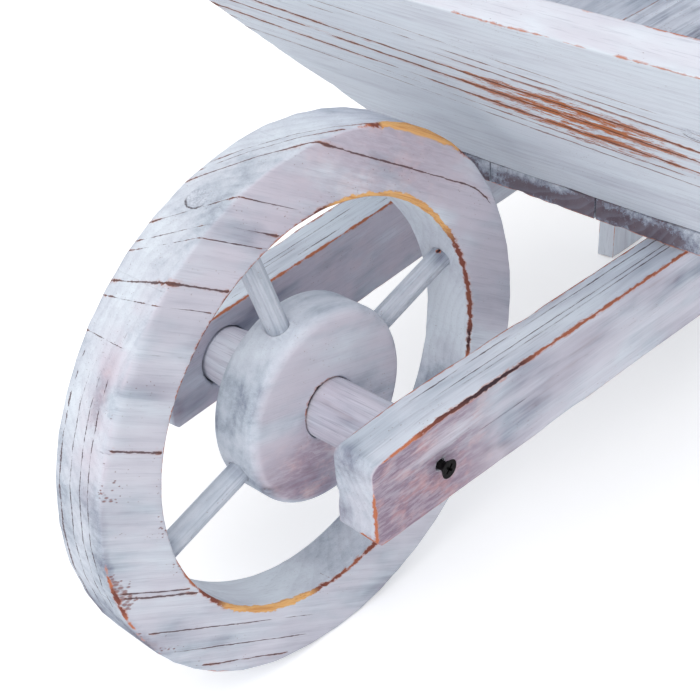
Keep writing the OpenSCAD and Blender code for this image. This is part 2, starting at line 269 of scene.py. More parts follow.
# How thickly the limewash lies, in wide patches and brush streaks, and a slow change of tone
def limeCoatGroup():
    tree, given, result = groupTree("limeCoat", ["Streaks"], ["Cover", "Tone"])
    grain = given["Grain"]
    patches = noiseAt(tree, grain, (0.012, 0.035, 0.035), 3.0, 0.55)
    streaks = noiseAt(tree, grain, (0.012, 0.42, 0.42), 4.0, 0.6)
    hairs = noiseAt(tree, grain, (0.06, 1.9, 1.9), 2.0, 0.6)
    streaky = calc(tree, "MULTIPLY", calc(tree, "SUBTRACT", streaks, 0.5), given["Streaks"])
    hairy = calc(tree, "MULTIPLY", calc(tree, "SUBTRACT", hairs, 0.5), given["Streaks"])
    both = calc(tree, "MULTIPLY_ADD", hairy, 0.6, streaky)
    wide = calc(tree, "MULTIPLY_ADD", calc(tree, "SUBTRACT", patches, 0.5), 1.3, 0.5)
    feed(tree, result["Cover"], fade(tree, calc(tree, "ADD", wide, both), 0.0, 1.0))
    shifted = addNode(tree, "VectorMath", operation="ADD")
    feed(tree, shifted.inputs[0], grain)
    shifted.inputs[1].default_value = (310.0, 40.0, 90.0)  # so that the tone isn't that of the patches
    feed(tree, result["Tone"], noiseAt(tree, shifted.outputs[0], (0.018, 0.05, 0.05), 3.0, 0.6))
    return tree


# Drying cracks that follow the grain, broken along their length, with a stained fringe
def openCracksGroup():
    tree, given, result = groupTree("openCracks", ["Gate", "Width"], ["Crack", "Fringe"])
    grain = given["Grain"]
    level = noiseAt(tree, grain, (0.0045, 0.075, 0.03), 1.0)
    off = calc(tree, "ABSOLUTE", calc(tree, "SUBTRACT", level, 0.5))
    broken = noiseAt(tree, grain, (0.016, 0.05, 0.05), 2.0)
    gate = fade(tree, broken, given["Gate"], calc(tree, "ADD", given["Gate"], 0.06))
    ragged = noiseAt(tree, grain, (0.12, 1.2, 1.2), 3.0, 0.7)
    room = calc(tree, "MULTIPLY", calc(tree, "MULTIPLY", ragged, given["Width"]), 0.024)
    crack = fade(tree, off, room, calc(tree, "MULTIPLY", room, 0.45))
    fringe = fade(tree, off, calc(tree, "MULTIPLY", room, 3.0), room)
    feed(tree, result["Crack"], calc(tree, "MULTIPLY", crack, gate))
    feed(tree, result["Fringe"], calc(tree, "MULTIPLY", fringe, gate))
    return tree


# Wash rubbed off the arrises. Arris is the distance from one in mm, Wear how far it is rubbed
def arrisWearGroup():
    tree, given, result = groupTree("arrisWear", ["Arris", "Wear", "Gaps"], ["Bare", "Rim"])
    ragged = noiseAt(tree, given["Grain"], (0.2, 0.42, 0.42), 5.0, 0.65)
    patchy = noiseAt(tree, given["Grain"], (0.03, 0.06, 0.06), 2.0)
    reach = calc(tree, "MULTIPLY_ADD", fade(tree, ragged, 0.32, 0.68), 0.9, 0.55)
    raggedness = fade(tree, given["Wear"], 4.8, 1.4)  # less where it is rubbed more
    reach = calc(tree, "MULTIPLY_ADD", calc(tree, "SUBTRACT", reach, 0.9), raggedness, 0.9)
    closed = calc(tree, "MULTIPLY", fade(tree, patchy, 0.50, 0.40), given["Gaps"])
    reach = calc(tree, "MULTIPLY", reach, calc(tree, "SUBTRACT", 1.0, closed))
    width = calc(tree, "MULTIPLY", reach, given["Wear"])
    feed(tree, result["Bare"], fade(tree, given["Arris"], width, calc(tree, "MULTIPLY", width, 0.75)))
    outer = calc(tree, "MULTIPLY_ADD", width, 1.35, 0.1)
    feed(tree, result["Rim"], fade(tree, given["Arris"], outer, width))
    return tree


# Thin lines along the grain: open joints, and cracks that swell where the wash has worn off
def grainLineGroup():
    tree, given, result = groupTree(
        "grainLine", ["Away", "Gate", "Width", "Swell"], ["Line", "Fringe", "Bare"])
    grain, away = given["Grain"], given["Away"]
    broken = noiseAt(tree, grain, (0.028, 0.16, 0.16), 4.0, 0.6)
    broken = calc(tree, "MULTIPLY_ADD", given["Swell"], 0.3, broken)
    gate = fade(tree, broken, given["Gate"], calc(tree, "ADD", given["Gate"], 0.24))
    ragged = noiseAt(tree, grain, (0.22, 1.0, 1.0), 4.0, 0.65)
    ragged = calc(tree, "MULTIPLY_ADD", fade(tree, ragged, 0.3, 0.7), 0.8, 0.2)
    islands = fade(tree, noiseAt(tree, grain, (0.06, 0.55, 0.55), 4.0, 0.65), 0.43, 0.53)
    swollen = calc(tree, "MULTIPLY", calc(tree, "MAXIMUM", given["Swell"], 0.0), islands)
    swelling = calc(tree, "MULTIPLY_ADD", swollen, 5.5, 1.0)
    width = calc(tree, "MULTIPLY", calc(tree, "MULTIPLY", ragged, gate), given["Width"])
    wide = calc(tree, "MULTIPLY", width, swelling)
    far = calc(tree, "MULTIPLY_ADD", width, 2.4, wide)
    feed(tree, result["Line"], fade(tree, away, width, calc(tree, "MULTIPLY", width, 0.4)))
    feed(tree, result["Bare"], fade(tree, away, wide, calc(tree, "MULTIPLY", wide, 0.9)))
    feed(tree, result["Fringe"], calc(tree, "MULTIPLY", fade(tree, away, far, wide), gate))
    return tree


# Small pits and flecks, in loose clusters
def flecksGroup():
    tree, given, result = groupTree("flecks", ["Amount"], ["Fleck"])
    cells = addNode(tree, "TexVoronoi", feature="F1")
    feed(tree, cells.inputs["Vector"], stretch(tree, given["Grain"], (0.36, 0.85, 0.85)))
    cells.inputs["Scale"].default_value = 1.0
    clusters = noiseAt(tree, given["Grain"], (0.03, 0.07, 0.07), 3.0, 0.6)
    spot = calc(tree, "MULTIPLY_ADD", fade(tree, clusters, 0.62, 0.42), -0.34, 0.34)
    spot = calc(tree, "MULTIPLY", spot, given["Amount"])
    distance = cells.outputs["Distance"]
    feed(tree, result["Fleck"], fade(tree, distance, spot, calc(tree, "MULTIPLY", spot, 0.4)))
    return tree


pineGrain = pineGrainGroup()
limeCoat = limeCoatGroup()
openCracks = openCracksGroup()
arrisWear = arrisWearGroup()
grainLine = grainLineGroup()
flecks = flecksGroup()

tones = {
    "golden": paint(230, 180, 118),
    "honey": paint(204, 142, 86),
    "redBrown": paint(128, 72, 60),
    "rust": paint(184, 112, 82),
    "ochre": paint(182, 112, 74),
    "peach": paint(224, 172, 154),
    "stain": paint(194, 142, 132),
    "dark": paint(56, 40, 46),
    "crack": paint(112, 96, 108),
    "bareGrey": paint(92, 80, 90),
    "thin": paint(136, 144, 161),
    "mist": paint(182, 191, 203),
    "rose": paint(140, 121, 139),
    "blush": paint(182, 146, 152),
    "pink": paint(203, 197, 209),
    "lilac": paint(200, 206, 217),
    "white": paint(216, 224, 233),
}


def readAttribute(tree, name):
    return addNode(tree, "Attribute", attribute_type="GEOMETRY", attribute_name=name).outputs["Vector"]


def readThree(tree, name):
    parts = addNode(tree, "SeparateXYZ")
    feed(tree, parts.inputs[0], readAttribute(tree, name))
    return parts.outputs


# Distance in mm from the nearest of some lines along the grain, which wander a little
def distanceFromLines(tree, grain, across, places):
    wander = noiseAt(tree, grain, (0.018, 0.05, 0.05), 5.0, 0.55)
    crooked = calc(tree, "MULTIPLY_ADD", wander, 1.6, across)
    nearest = None
    for place in places:
        away = calc(tree, "ABSOLUTE", calc(tree, "SUBTRACT", crooked, place + 0.8))
        nearest = away if nearest is None else calc(tree, "MINIMUM", nearest, away)
    return nearest


# The wash is thinner where the wood is worn thin and on the hard late wood, and greyer where it is thin. On
# some pieces the thin input also carries painted shade, and below 0 painted light
def washCoat(tree, look, grain, rings, coat, pink, thin):
    cover = calc(tree, "MULTIPLY_ADD", thin, -0.75, coat["Cover"])
    smears = noiseAt(tree, grain, (0.09, 0.13, 0.13), 3.0, 0.6)
    cover = calc(tree, "MULTIPLY_ADD", calc(tree, "SUBTRACT", smears, 0.5), look["smears"], cover)
    cover = calc(tree, "MULTIPLY_ADD", rings["Late"], -look["lateShows"], cover)
    cover = calc(tree, "ADD", cover, look["cover"], clamp=True)
    colour = ramp(tree, cover, (
        (0.0, tones["bareGrey"]), (0.16, tones["thin"]), (0.42, tones["mist"]),
        (0.60, tones["lilac"]), (0.92, tones["white"])))
    pinkness = calc(tree, "MULTIPLY", pink, fade(tree, coat["Tone"], 0.30, 0.62), clamp=True)
    colour = tint(tree, colour, pinkness, 0.85, tones["pink"])
    speckle = noiseAt(tree, grain, (0.13, 0.7, 0.7), 4.0, 0.7)
    speckle = calc(tree, "MULTIPLY_ADD", fade(tree, speckle, 0.38, 0.60), 0.4, 0.6)
    rosiness = calc(tree, "MULTIPLY", fade(tree, pink, 1.0, 2.0), fade(tree, coat["Cover"], 1.0, 0.6))
    roseTone = blend(tree, fade(tree, smears, 0.45, 0.7), tones["rose"], tones["blush"])
    colour = tint(tree, colour, rosiness, speckle, roseTone)
    colour = tint(tree, colour, rings["Late"], look["lateTint"], look["lateColour"])
    hairs = fade(tree, rings["Fibre"], 0.46, 0.30)
    return cover, tint(tree, colour, hairs, look["fibreTint"], look["lateColour"])


# Bare wood is dark or red, peach or rust where it is rubbed less, and golden where it is rubbed most
def bareWood(tree, look, rings, coat, wear):
    gold = blend(tree, fade(tree, rings["Fibre"], 0.3, 0.6), tones["honey"], tones["golden"])
    redness = fade(tree, coat["Tone"], look["redFrom"], look["redFrom"] + 0.24)
    colour = blend(tree, redness, tones["dark"], tones["redBrown"])
    for tone, low, high in ((tones["rust"], 1.35, 1.05), (tones["peach"], 0.6, 0.4), (gold, 1.7, 2.1)):
        colour = blend(tree, fade(tree, wear, low, high), colour, tone)
    return colour


# A knot's pale stipple and its dark ring, by the distance from its middle and below it, in mm
def knotMark(tree, colour, grain, rings, distance, below):
    crooked = calc(tree, "MULTIPLY_ADD", rings["Fibre"], 1.4, calc(tree, "SUBTRACT", distance, 0.7))
    knot = fade(tree, crooked, 5.4, 4.6)
    stipple = fade(tree, noiseAt(tree, grain, (1.3, 1.3, 1.3), 2.0), 0.42, 0.62)
    colour = tint(tree, colour, knot, calc(tree, "MULTIPLY", stipple, 0.4), tones["thin"])
    ring = calc(tree, "MULTIPLY", knot, fade(tree, crooked, 4.1, 4.8))
    return tint(tree, colour, ring, fade(tree, below, 0.5, 3.0), tones["dark"])


# Limewash on pine. The look holds what differs between the finishes
def limewash(name, look):
    material, tree, shader = newMaterial(name)
    grain = readAttribute(tree, "grain")
    arris, layerSwell, _ = readThree(tree, "edges")
    lineHeight, depth, lineSwell = readThree(tree, "lines")
    wear, pink, thin = readThree(tree, "worn")
    knotDistance, knotBelow, pits = readThree(tree, "knots")

    rings = useGroup(tree, pineGrain, Grain=grain, Spacing=look["ringSpacing"])
    coat = useGroup(tree, limeCoat, Grain=grain, Streaks=look["streaks"])
    cracks = useGroup(tree, openCracks, Grain=grain, Gate=look["crackGate"], Width=look["crackWidth"])
    rubbed = useGroup(tree, arrisWear, Grain=grain, Arris=arris, Wear=wear, Gaps=look["gaps"])
    fleck = useGroup(tree, flecks, Grain=grain, Amount=calc(tree, "ADD", pits, look["flecks"]))["Fleck"]

    cover, colour = washCoat(tree, look, grain, rings, coat, pink, thin)
    colour = tint(tree, colour, cracks["Fringe"], 0.4, tones["stain"])
    stained = calc(tree, "MULTIPLY", fade(tree, wear, 2.3, 1.5), 0.65)
    colour = tint(tree, colour, rubbed["Rim"], stained, tones["stain"])
    colour = blend(tree, rubbed["Bare"], colour, bareWood(tree, look, rings, coat, wear))
    colour = tint(tree, colour, fleck, 0.7, tones["redBrown"])
    colour = blend(tree, cracks["Crack"], colour, tones["dark"])

    height = calc(tree, "MULTIPLY", cover, 0.30)
    for mask, amount in ((rings["Late"], look["lateHeight"]), (rings["Fibre"], look["fibreHeight"]),
                         (cracks["Crack"], -1.4), (fleck, -0.7), (rubbed["Bare"], -0.35)):
        height = calc(tree, "MULTIPLY_ADD", mask, amount, height)

    # Cracks at their own places across the board and through its depth, widest near an arris
    beside = fade(tree, arris, 9.0, 1.5)
    nearArris = calc(tree, "MULTIPLY_ADD", beside, 0.7, 0.8)
    families = [(lineHeight, lineSwell, look["lineRed"], row) for row in look["lines"]]
    families += [(depth, layerSwell, 0.2 * look["lineRed"], row) for row in look["layers"]]
    for place, swell, redBeside, (places, gate, width, red) in families:
        away = distanceFromLines(tree, grain, place, places)
        line = useGroup(tree, grainLine, Grain=grain, Away=away, Gate=gate, Swell=swell,
                        Width=calc(tree, "MULTIPLY", nearArris, width))
        swollen = blend(tree, fade(tree, rings["Fibre"], 0.28, 0.42), tones["redBrown"], tones["ochre"])
        reddened = calc(tree, "MAXIMUM", calc(tree, "MULTIPLY", beside, redBeside), swell)
        reddened = calc(tree, "MAXIMUM", reddened, red)
        stained = calc(tree, "MULTIPLY", reddened, 0.5)
        colour = tint(tree, colour, line["Fringe"], stained, tones["stain"])
        colour = tint(tree, colour, line["Bare"], 0.45, tones["crack"])
        colour = tint(tree, colour, line["Bare"], reddened, swollen)
        colour = tint(tree, colour, line["Line"], 0.75, tones["dark"])
        height = calc(tree, "MULTIPLY_ADD", line["Bare"], -0.7, height)

    feed(tree, shader.inputs["Base Color"], knotMark(tree, colour, grain, rings, knotDistance, knotBelow))
    roughness = calc(tree, "MULTIPLY_ADD", rubbed["Bare"], -0.15, 0.84)
    feed(tree, shader.inputs["Roughness"], calc(tree, "MULTIPLY_ADD", rings["Fibre"], 0.1, roughness))
    shader.inputs["Specular IOR Level"].default_value = 0.25
    addBump(tree, shader, height, 0.9, 0.4)
    return material


limewashLook = {
    "ringSpacing": 4.2,
    "streaks": 0.34,
    "smears": 0.22,
    "crackGate": 0.72,
    "crackWidth": 0.4,
    "gaps": 0.5,  # how far the wear on the arrises breaks off in places
    "redFrom": 0.36,  # the tone noise above which bare wood is red rather than dark
    "flecks": 0.42,
    "cover": 0.14,
    "lateShows": 0.05,
    "lateTint": 0.07,
    "lateColour": paint(140, 142, 158),
    "lateHeight": 0.05,
    "fibreTint": 0.28,
    "fibreHeight": 0.4,
    "lineRed": 0.8,  # how far cracks redden beside an arris
    "lines": (),
    "layers": (),
}
# Cracks: places in mm across the grain, or through the board, how broken they are, their width in mm, and
# how red they are away from the arrises
rimLook = dict(
    limewashLook, gaps=0.1, crackGate=0.9, lateTint=0.08, lateShows=0.03, redFrom=0.26,
    fibreTint=0.2, fibreHeight=0.3, lineRed=0.6,
    lines=(((103.0, 42.4, -20.7, -80.0), 0.28, 0.8, 0.2),
           ((116.0, 111.0, 77.0, 65.8, 60.0, 33.8, 15.8, -78.0, -96.3, -106.0, -114.0), 0.36, 0.6, 0.1)),
    layers=(((-9.5, -3.5, 2.0, 6.5), 0.38, 0.6, 0.0),))
# The panel's high cover is partly painted light, lifting its down-facing face out of shade
panelLook = dict(
    limewashLook, fibreTint=0.3, lateTint=0.08, cover=0.52, crackGate=0.9, gaps=0.8, lineRed=0.3,
    lines=(((-35.5, -24.0, -10.4), 0.33, 1.9, 0.85), ((-62.0, -54.0, -47.0, -1.0), 0.44, 0.9, 0.45),
           ((7.3,), 0.30, 0.9, 0.3)))
armLook = dict(
    limewashLook, gaps=0.2, crackGate=0.8, lineRed=0.1, smears=0.12, streaks=0.3,
    lines=(((3.0,), 0.5, 0.5, 0.0),), layers=(((55.0, 60.5, 63.0), 0.38, 0.5, 0.0),))
greyLook = dict(
    limewashLook, streaks=0.7, smears=0.5, cover=-0.02, lateTint=0.3, crackGate=0.64, flecks=0.8)
hubLook = dict(
    limewashLook, streaks=0.25, smears=0.5, cover=0.1, fibreTint=0.15, lateTint=0.0, crackGate=0.9,
    redFrom=0.7)
axleLook = dict(limewashLook, streaks=0.6, cover=0.0, lateTint=0.2, crackGate=0.8, fibreTint=0.5)

finishes = {
    "limewashed_wood": limewash("limewashedPine", limewashLook),
    "rim": limewash("limewashedRim", rimLook),
    "panel": limewash("limewashedPanel", panelLook),
    "arm": limewash("limewashedArm", armLook),
    "hub": limewash("limewashedHub", hubLook),
    "grey_wash_wood": limewash("greyWashedPine", greyLook),
    "worn_wood": limewash("rubbedPine", axleLook),
}
print("wood finishes made:", len(finishes))


# How every board's mesh is worked
craft = {
    "merge": 0.01,  # mm between points that become one
    "flat": 0.6,  # degrees between faces that become one
    "sharp": 32.0,  # degrees at an edge that is an arris
    "smooth": 38.0,  # degrees up to which an edge is shaded smooth
    "far": 12.0,  # mm, past which the distance to an arris or a knot isn't told
}


# A merged copy of a CAD node, ready for work with edges and faces
def copyOfNode(node):
    obj = frame["nodes"][node].copy()
    obj.data = obj.data.copy()
    obj.name = camel(node)
    obj.data.name = obj.name
    obj.parent = None
    obj.matrix_world = Matrix.Identity(4)
    for key in list(obj.keys()):
        del obj[key]
    obj.data.materials.clear()
    bpy.context.scene.collection.objects.link(obj)
    makeActive(obj)
    bpy.ops.object.mode_set(mode="EDIT")
    bpy.ops.mesh.select_all(action="SELECT")
    bpy.ops.mesh.remove_doubles(threshold=craft["merge"] * mm)
    bpy.ops.mesh.dissolve_limited(angle_limit=math.radians(craft["flat"]))
    bpy.ops.object.mode_set(mode="OBJECT")
    return obj


# The sharp edges that a test of their ends lets through: each one's index and its ends in mm
def sharpEdges(obj, keep):
    mesh = obj.data
    faceNormals = {}
    for face in mesh.polygons:
        for key in face.edge_keys:
            faceNormals.setdefault(key, []).append(face.normal.copy())
    found = []
    for edge in mesh.edges:
        sides = faceNormals.get(tuple(sorted(edge.vertices)), [])
        if len(sides) == 2 and sides[0].angle(sides[1], 0.0) > math.radians(craft["sharp"]):
            ends = [mesh.vertices[i].co / mm for i in edge.vertices]
            if keep(ends[0], ends[1]):
                found.append((edge.index, ends))
    return found


def bevelEdges(obj, edges, width, segments):
    makeActive(obj)
    bpy.ops.object.mode_set(mode="EDIT")
    bpy.ops.mesh.select_all(action="DESELECT")
    bpy.ops.mesh.select_mode(type="EDGE")
    bpy.ops.object.mode_set(mode="OBJECT")
    for index, _ in edges:
        obj.data.edges[index].select = True
    bpy.ops.object.mode_set(mode="EDIT")
    bpy.ops.mesh.bevel(offset=width * mm, segments=segments, affect="EDGES", clamp_overlap=False)
    bpy.ops.object.mode_set(mode="OBJECT")


# Cuts all of a piece's faces at some places along a direction, so that its surface can be worn
def sliceAlong(obj, direction, places):
    makeActive(obj)
    bpy.ops.object.mode_set(mode="EDIT")
    bpy.ops.mesh.select_mode(type="FACE")
    for place in places:
        bpy.ops.mesh.select_all(action="SELECT")
        bpy.ops.mesh.bisect(plane_co=direction * place * mm, plane_no=direction, threshold=0.001 * mm)
    bpy.ops.object.mode_set(mode="OBJECT")


def cutPlaces(low, high, step, edge):
    inner = high - low - 2 * edge
    if inner <= 0:
        return []
    count = max(1, round(inner / step))
    return [low + edge + inner * i / count for i in range(count + 1)]


def pointsOf(obj):
    points = np.empty(len(obj.data.vertices) * 3, np.float64)
    obj.data.vertices.foreach_get("co", points)
    return points.reshape(-1, 3) / mm


def normalsOf(obj):
    normals = np.empty(len(obj.data.vertices) * 3, np.float64)
    obj.data.vertices.foreach_get("normal", normals)
    return normals.reshape(-1, 3)


# Distance in mm from each point to the nearest of some straight edges
def distanceTo(points, segments):
    nearest = np.full(len(points), craft["far"])
    for start, end in segments:
        a = np.array(start)
        run = np.array(end) - a
        t = np.clip((points - a) @ run / max(run @ run, 1e-9), 0, 1)
        away = points - a - t[:, None] * run
        nearest = np.minimum(nearest, np.sqrt((away * away).sum(1)))
    return nearest


def noiseOver(points, scale, seed):
    along, across, out = scale
    return np.array([noise.noise(Vector((x * along + seed, y * across, z * out))) for x, y, z in points])


# A smooth hill of height 1 at the centre that ends at the spread, over a length or an angle
def nearBump(value, centre, spread):
    t = np.clip(1 - np.abs(value - centre) / spread, 0, 1)
    return t * t * (3 - 2 * t)


def nearAngle(value, centre, spread):
    return nearBump((value - centre + 180) % 360 - 180, 0, spread)


def storeVectors(obj, name, columns):
    layer = obj.data.attributes.new(name, "FLOAT_VECTOR", "POINT")
    layer.data.foreach_set("vector", np.column_stack(columns).astype(np.float32).ravel())


slotOf = {row["node"]: row["material_slot"] for row in frame["record"]["subparts"]}
boardCount = 0


# Rounds a board's arrises and cuts its surface into small faces. Gives the arrises back
def roundAndSlice(obj, base, axes, style, seams):
    def isArris(start, end):
        heights = [(point - Vector(base)).dot(axes[1]) for point in (start, end)]
        onSeam = any(all(abs(height - seam) < 0.3 for height in heights) for seam in seams)
        return (end - start).length > style["shortest"] and not onSeam

    arrises = sharpEdges(obj, isArris) if "shortest" in style else []
    if arrises:
        bevelEdges(obj, arrises, style["bevel"], style["segments"])
    local = (pointsOf(obj) - base) @ np.array(axes).T
    for axis, *extent in zip(axes, local.min(0), local.max(0), style["cells"], style["margins"]):
        shift = Vector(base).dot(axis)
        sliceAlong(obj, axis, [shift + place for place in cutPlaces(*extent)])
    return arrises


# Hand tool wobble, raised grain, and chips along the arrises, in mm inwards
def wearDepth(local, arris, style, number):
    wobble = noiseOver(local, (0.012, 0.04, 0.04), number) * style["wobble"] + 0.05
    ridges = noiseOver(local, (0.02, 0.33, 0.33), number) * style["ridges"]
    chips = np.clip(noiseOver(local, (0.05, 0.12, 0.12), number + 40) - 0.08, 0, 1) * np.exp(-arris / 1.6)
    return wobble + np.abs(ridges) + chips * style["chips"]


# Stores what the materials read at each point, with the pith of each board at a place of its own
def storeSurface(obj, local, worn, style, number):
    pithAcross, pithDeep = (number * 37) % 50 - 25, (number * 29) % 45 + 38
    if number % 2:
        pithDeep = -pithDeep
    shiftAlong = (number * 173) % 1000
    lineHeight = style["drift"](local) if "drift" in style else local[:, 1]
    nothing = np.zeros(len(local))
    storeVectors(obj, "grain", (local[:, 0] + shiftAlong, local[:, 1] - pithAcross, local[:, 2] - pithDeep))
    storeVectors(obj, "edges", (worn["arris"], worn["layerSwell"], nothing))
    storeVectors(obj, "lines", (lineHeight, local[:, 2], worn["lineSwell"]))
    storeVectors(obj, "worn", (worn["wear"], worn["pink"], worn["thin"]))
    storeVectors(obj, "knots", (worn["knot"], worn["knotBelow"], worn["pits"]))


# Turns a node's mesh into a worn wooden piece
def makeBoard(node, along, out, style, origin=None, seams=(), shape=None, places=None):
    global boardCount
    boardCount += 1
    number = style.get("board", boardCount)  # boards with one number share one grain
    along = Vector(along).normalized()
    out = Vector(out)
    out = (out - along * out.dot(along)).normalized()
    axes = (along, out.cross(along), out)
    base = np.array(origin or sum(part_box(node), Vector()) / 2) / mm

    obj = copyOfNode(node)
    arrises = roundAndSlice(obj, base, axes, style, seams)
    points = pointsOf(obj)
    arris = distanceTo(points, [ends for _, ends in arrises])
    local = (points - base) @ np.array(axes).T
    normals = normalsOf(obj)
    across = np.array(axes[1])
    for seam in seams:  # glued faces stay together
        onSeam = np.abs(local[:, 1] - seam) < 0.05
        flat = normals[onSeam] - np.outer(normals[onSeam] @ across, across)
        normals[onSeam] = flat / np.maximum(np.linalg.norm(flat, axis=1), 0.5)[:, None]

    moved = points - normals * wearDepth(local, arris, style, number)[:, None]
    if shape:
        moved = shape(moved, points)
    obj.data.vertices.foreach_set("co", (moved * mm).ravel())
    obj.data.update()

    blank = ("thin", "knotBelow", "pits", "lineSwell", "layerSwell")
    worn = {name: np.zeros(len(points)) for name in blank}
    worn["wear"] = np.full(len(points), style["wear"])
    worn["pink"] = np.full(len(points), style["pink"])
    worn["arris"] = arris
    worn["knot"] = np.full(len(points), craft["far"])
    if places:
        places(worn, points, local, normals)
    storeSurface(obj, local, worn, style, number)

    makeActive(obj)
    bpy.ops.object.shade_smooth_by_angle(angle=math.radians(craft["smooth"]))
    slot = slotOf[node]
    obj.data.materials.append(finishes[style.get("finish", slot)])
    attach(obj, frame["nodes"][node]["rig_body"])
    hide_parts(node)
    print("board made:", obj.name, len(obj.data.polygons), "faces")


# The cracks in the rim follow the growth rings, so they lean as they cross the tread
def rimDrift(local):
    depth = rimHalfWidth / mm - local[:, 2]
    leaning = (local[:, 1] - rim["crackLean"] * depth) / (1 - rim["crackFan"] * depth)
    fromPlace, over, most = rim["crackBend"]
    bend = most * np.clip((local[:, 0] - fromPlace) / over, 0, 1) ** 2
    leaning = np.where(local[:, 1] > rim["bendsAbove"], leaning + bend, leaning)
    return np.where(local[:, 1] > rim["leansAbove"], leaning, local[:, 1])


# The rim, seven boards round the axle
rim = {
    "boards": (
        "rim_cap", "rim_top", "rim_mid_front", "rim_mid_rear", "rim_low_front", "rim_low_rear", "rim_bottom"),
    "finish": "rim",
    "board": 4,
    "drift": rimDrift,
    "shortest": 2.0,  # mm, the shortest edge that is rounded
    "bevel": 1.4,
    "segments": 3,
    "cells": (2.6, 2.6, 2.6),  # mm along the grain, across it and out of the face
    "margins": (0.6, 0.6, 2.4),  # mm from the piece's ends to its first cut
    "wobble": 0.3,
    "ridges": 0.05,
    "chips": 0.7,
    "wear": 0.15,
    "pink": 0.1,
    "joints": (100.0, 39.0, -22.0, -83.0),  # mm across the grain, from the axle
    "depth": 30.0,
    "flats": 46,  # that the saw left on the outline
    "flatsDrift": (0.05, 5),  # how far they drift round the rim, and how often
    # Angles round the axle, up from level at the rear, each with its spread and with mm or a strength
    "chamfers": ((150.0, 32.0, 4.2), (60.0, 24.0, 2.2), (215.0, 30.0, 1.0)),
    "innerChamfers": ((54.0, 34.0, 2.2), (244.0, 32.0, 2.0), (5.0, 24.0, 0.8)),
    "outerWorn": ((60.0, 24.0, 4.2), (198.0, 32.0, 0.5), (193.0, 12.0, 0.8), (232.0, 8.0, 0.6)),
    "innerWorn": (
        (62.0, 48.0, 2.8), (130.0, 60.0, 0.9), (212.0, 24.0, 0.7), (243.0, 36.0, 2.6), (8.0, 42.0, 1.3),
        (285.0, 30.0, 0.9)),
    "facePink": ((70.0, 80.0, 1.0),),
    "treadPink": ((152.0, 28.0, 1.45),),
    "treadThin": ((195.0, 60.0, 0.26),),
    # The inside is darker round 338 degrees, and drawn lighter round 0 degrees, painted light where shade
    # falls on it
    "insideThin": ((338.0, 12.0, 0.5), (0.0, 40.0, -0.45)),
    "pits": ((190.0, 48.0, 2.0),),
    "lowerTread": ((225.0, 95.0, 1.0),),  # where the cracks don't cross the tread
    "frontTread": ((188.0, 52.0, 4.0),),  # where they run round it
    # Places of the cracks in mm along the grain and across it, from the axle
    "cracksUntil": (50.0, -5.0, 25.0),  # in the upper half, the lower half and the foot
    "foot": -90.0,
    "faceCracksTo": 106.5,
    "crackLean": 0.27,
    "crackFan": 0.0135,
    "leansAbove": 20.0,
    "crackBend": (42.0, 20.0, 5.0),  # from where, over how far, and how much
    "bendsAbove": 85.0,
    "knot": (113.5, 1.5),  # angle, and mm across the tread
}


def polar(points):
    x = points[:, 0] - axleAt.x / mm
    z = points[:, 2] - axleAt.z / mm
    return np.hypot(x, z), np.degrees(np.arctan2(z, x)) % 360


def roundAxle(angle, places):
    return sum(nearAngle(angle, centre, spread) * amount for centre, spread, amount in places)


def shapeRim(moved, points):
    radius, angle = polar(moved)
    outerR = wheelRadius / mm
    innerR = outerR - rim["depth"]
    half = rimHalfWidth / mm
    drift, often = rim["flatsDrift"]
    waved = np.radians(angle) + drift * np.sin(np.radians(angle) * often)
    step = 2 * math.pi / rim["flats"]
    flat = outerR * (np.cos(step / 2) / np.cos((waved % step) - step / 2) - 1)
    outerShare = np.clip((radius - innerR) / rim["depth"], 0, 1)
    change = flat * outerShare ** 2
    # Sanded chamfers on the near face, outside and inside
    near = -moved[:, 1]
    outerEdge = outerR + half - roundAxle(angle, rim["chamfers"])
    innerEdge = half - innerR - roundAxle(angle, rim["innerChamfers"])
    outerCut = np.clip((radius + change) + near - outerEdge, 0, None)
    innerCut = np.clip(near - (radius + change) - innerEdge, 0, None)
    change = change - outerCut / 2 + innerCut / 2
    near = near - outerCut / 2 - innerCut / 2
    scale = (radius + change) / radius
    result = moved.copy()
    result[:, 0] = (moved[:, 0] - axleAt.x / mm) * scale + axleAt.x / mm
    result[:, 2] = (moved[:, 2] - axleAt.z / mm) * scale + axleAt.z / mm
    result[:, 1] = -near
    return result


